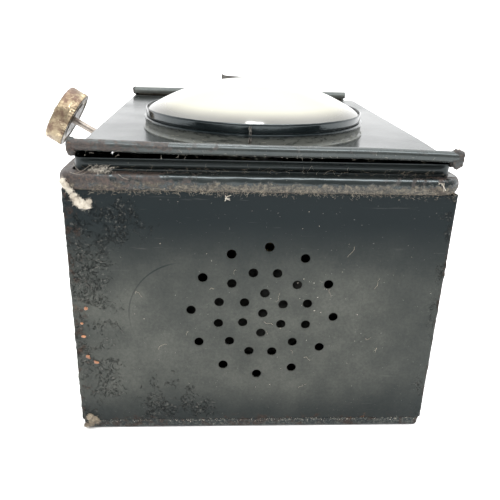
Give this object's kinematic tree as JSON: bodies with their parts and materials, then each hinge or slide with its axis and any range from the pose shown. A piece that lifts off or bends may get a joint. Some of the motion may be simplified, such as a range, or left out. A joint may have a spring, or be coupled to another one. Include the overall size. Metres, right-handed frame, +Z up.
{
  "type": "magic lantern lamphouse",
  "caption": "Tin lamphouse of an oil-lit magic lantern, lying on its back: pierced roof, domed condenser on a sliding plate, and a knurled wick winder at the side.",
  "frame": {"origin": "centre of the back panel's outer face, on which the lantern lies", "axes": "+Z up through the condenser when the box lies on its back; -Y towards the pierced roof, +Y towards the base end on which it stands in use; -X towards the wick winder"},
  "size_m": [0.1734, 0.1754, 0.1343],
  "materials": {
    "japanned_tin": "worn black japan over tinplate, rust at the beads",
    "bare_tin": "dull oxidised tinplate",
    "polished_tin": "polished, slightly clouded",
    "brass": "tarnished",
    "knob_brass": "brown tarnish, bright on the edges",
    "steel_wire": "dull steel",
    "wick_cotton": "woven cotton",
    "cell_black": "glossy black lacquer",
    "condenser_glass": "polished, slightly creamy old glass"
  },
  "bodies": {
    "lamphouse": {"body_wrap": "japanned_tin", "back_panel": "japanned_tin", "rim_bead": "japanned_tin", "neck_frame": "japanned_tin", "slide_rail_left": "japanned_tin", "slide_rail_right": "japanned_tin", "plate_stop": "bare_tin", "vent_baffle": "bare_tin", "baffle_straps": "bare_tin", "reflector": "polished_tin", "reflector_post": "bare_tin", "reflector_rivet": "brass", "font_bowl": "bare_tin", "font_lid": "bare_tin", "filler_neck": "brass", "font_pad": "bare_tin", "font_clips": "bare_tin", "burner_collar": "brass", "draught_cup": "brass", "wick_tube": "brass", "winder_bearings": "brass", "flame_cap": "brass"},
    "lens_panel": {"lens_plate": "japanned_tin", "curl_wire_near": "steel_wire", "curl_wire_far": "steel_wire", "lens_seat": "bare_tin", "lens_cell": "cell_black", "lens_cap": "cell_black", "condenser_lens": "condenser_glass"},
    "wick_winder": {"winder_shaft": "steel_wire", "sprocket_wheels": "brass", "winder_knob": "knob_brass", "knob_rivet": "steel_wire"},
    "wick_strip": {"wick": "wick_cotton"},
    "filler_stopper": {"filler_plug": "brass"}
  },
  "joints": [
    {"name": "plate_slide", "type": "slide", "parent": "lamphouse", "child": "lens_panel", "axis": [0, -1, 0], "range_m": [0, 0.15]},
    {"name": "winder_turn", "type": "hinge", "parent": "lamphouse", "child": "wick_winder", "pos_m": [0.00325, 0.0138, 0.05573], "axis": [-0.866, 0, 0.5], "range_deg": [-55, 105]},
    {"name": "wick_rise", "type": "slide", "parent": "lamphouse", "child": "wick_strip", "axis": [0, -1, 0], "range_m": [-0.0046, 0.0088]},
    {"name": "plug_pull", "type": "slide", "parent": "lamphouse", "child": "filler_stopper", "axis": [0, -1, 0], "range_m": [0, 0.014]}
  ],
  "couplings": [
    {"joint": "wick_rise", "follows": "winder_turn", "m_per_rad": 0.0047}
  ]
}
